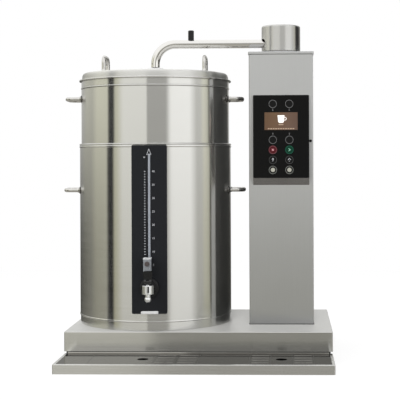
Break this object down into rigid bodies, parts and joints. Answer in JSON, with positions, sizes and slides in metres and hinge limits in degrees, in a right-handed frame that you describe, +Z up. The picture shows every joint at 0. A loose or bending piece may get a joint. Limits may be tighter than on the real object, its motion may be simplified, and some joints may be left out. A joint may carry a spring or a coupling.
{
  "type": "coffee urn",
  "caption": "Counter coffee brewer: insulated drum container with level gauge, tap, filter basket and lid, beside a control column with swivel water pipe, on a base with drip tray.",
  "frame": {"origin": "on the counter, under the middle of the whole brewer's box", "axes": "+X to the right seen from the front, +Y to the back, +Z up"},
  "size_m": [0.7734, 0.617, 0.9448],
  "materials": {
    "brushed_steel": "satin, vertical or lengthwise grain",
    "polished_steel": "polished",
    "plain_steel": "plain mill finish",
    "yellow_metal": "turned",
    "black_gloss": "gloss",
    "black_matt": "fine satin",
    "grey_plastic": "satin",
    "brown_plastic": "satin",
    "white_plastic": "satin",
    "black_rubber": "dull",
    "silicone": "dull",
    "clear_glass": "clear",
    "display_glass": "gloss",
    "green_board": "lacquered",
    "foam": "foam",
    "key_grey": "printed ring",
    "key_red": "lit red",
    "key_green": "lit green"
  },
  "bodies": {
    "brewer": {"base_cover": "brushed_steel", "base_floor": "plain_steel", "feet": "black_rubber", "foot_nuts": "plain_steel", "column_shell": "brushed_steel", "rear_cover": "brushed_steel", "rear_screws": "plain_steel", "cap_gasket": "black_rubber", "column_cap": "brushed_steel", "panel_housing": "brushed_steel", "panel_overlay": "black_gloss", "display_window": "display_glass", "control_board": "green_board", "panel_lock": "black_matt", "boiler_tank": "plain_steel", "heating_element": "plain_steel", "riser_pipe": "plain_steel", "water_inlet": "yellow_metal", "inlet_valve": "yellow_metal", "cable_gland": "black_matt", "swivel_bearing": "grey_plastic"},
    "arm": {"head_drum": "brushed_steel", "swivel_hub": "yellow_metal", "swivel_pipe": "brushed_steel", "arm_knob": "black_matt"},
    "container": {"foot_ring": "brushed_steel", "container_shell": "brushed_steel", "inner_vessel": "plain_steel", "insulation": "foam", "container_rim": "brushed_steel", "container_grips": "polished_steel", "gauge_housing": "black_matt", "sight_tube": "clear_glass", "gauge_fitting": "grey_plastic", "gauge_knob": "brown_plastic", "tap_escutcheon": "black_matt", "tap_body": "polished_steel", "tap_seal": "silicone", "tap_nozzle": "polished_steel", "tap_pin": "plain_steel", "tap_nut": "plain_steel"},
    "lever": {"tap_lever": "black_matt"},
    "basket": {"filter_basket": "brushed_steel", "filter_plate": "plain_steel", "basket_grips": "polished_steel"},
    "lid": {"lid_dome": "brushed_steel", "lid_hub": "white_plastic", "lid_loops": "polished_steel"},
    "tray": {"drip_tray": "brushed_steel"},
    "grate": {"drip_plate": "polished_steel"},
    "body_key_1_left": {"key_1_left": "key_grey"},
    "body_key_1_right": {"key_1_right": "key_grey"},
    "body_key_2_left": {"key_2_left": "key_grey"},
    "body_key_2_right": {"key_2_right": "key_grey"},
    "body_key_3_left": {"key_3_left": "key_red"},
    "body_key_3_right": {"key_3_right": "key_green"},
    "body_key_4_left": {"key_4_left": "key_grey"},
    "body_key_4_right": {"key_4_right": "key_grey"},
    "body_key_5_left": {"key_5_left": "key_grey"},
    "body_key_5_right": {"key_5_right": "key_grey"}
  },
  "joints": [
    {"name": "arm_swing", "type": "hinge", "parent": "brewer", "child": "arm", "pos_m": [0.2472, 0.0835, 0.863], "axis": [0, 0, 1], "range_deg": [-90, 90]},
    {"name": "container_slide", "type": "slide", "parent": "brewer", "child": "container", "axis": [0, -1, 0], "range_m": [0, 0.12]},
    {"name": "tap_lever_pull", "type": "hinge", "parent": "container", "child": "lever", "pos_m": [-0.11183, -0.19333, 0.227], "axis": [0.9994, 0.0349, 0], "range_deg": [0, 60], "stiffness_Nm_per_rad": 0.3},
    {"name": "basket_turn", "type": "hinge", "parent": "container", "child": "basket", "pos_m": [-0.1215, 0.0835, 0.6026], "axis": [0, 0, 1], "continuous": true},
    {"name": "lid_turn", "type": "hinge", "parent": "basket", "child": "lid", "pos_m": [-0.1215, 0.0835, 0.7656], "axis": [0, 0, 1], "continuous": true},
    {"name": "tray_slide", "type": "slide", "parent": "brewer", "child": "tray", "axis": [0, -1, 0], "range_m": [0, 0.12]},
    {"name": "drip_plate_lift", "type": "slide", "parent": "tray", "child": "grate", "axis": [0, 0, 1], "range_m": [0, 0.04]},
    {"name": "key_1_left_press", "type": "slide", "parent": "brewer", "child": "body_key_1_left", "axis": [0, 0.9982, -0.0593], "range_m": [0, 0.0008], "stiffness_N_per_m": 1500},
    {"name": "key_1_right_press", "type": "slide", "parent": "brewer", "child": "body_key_1_right", "axis": [0, 0.9982, -0.0593], "range_m": [0, 0.0008], "stiffness_N_per_m": 1500},
    {"name": "key_2_left_press", "type": "slide", "parent": "brewer", "child": "body_key_2_left", "axis": [0, 0.9982, -0.0593], "range_m": [0, 0.0008], "stiffness_N_per_m": 1500},
    {"name": "key_2_right_press", "type": "slide", "parent": "brewer", "child": "body_key_2_right", "axis": [0, 0.9982, -0.0593], "range_m": [0, 0.0008], "stiffness_N_per_m": 1500},
    {"name": "key_3_left_press", "type": "slide", "parent": "brewer", "child": "body_key_3_left", "axis": [0, 0.9982, -0.0593], "range_m": [0, 0.0008], "stiffness_N_per_m": 1500},
    {"name": "key_3_right_press", "type": "slide", "parent": "brewer", "child": "body_key_3_right", "axis": [0, 0.9982, -0.0593], "range_m": [0, 0.0008], "stiffness_N_per_m": 1500},
    {"name": "key_4_left_press", "type": "slide", "parent": "brewer", "child": "body_key_4_left", "axis": [0, 0.9982, -0.0593], "range_m": [0, 0.0008], "stiffness_N_per_m": 1500},
    {"name": "key_4_right_press", "type": "slide", "parent": "brewer", "child": "body_key_4_right", "axis": [0, 0.9982, -0.0593], "range_m": [0, 0.0008], "stiffness_N_per_m": 1500},
    {"name": "key_5_left_press", "type": "slide", "parent": "brewer", "child": "body_key_5_left", "axis": [0, 0.9982, -0.0593], "range_m": [0, 0.0008], "stiffness_N_per_m": 1500},
    {"name": "key_5_right_press", "type": "slide", "parent": "brewer", "child": "body_key_5_right", "axis": [0, 0.9982, -0.0593], "range_m": [0, 0.0008], "stiffness_N_per_m": 1500}
  ]
}
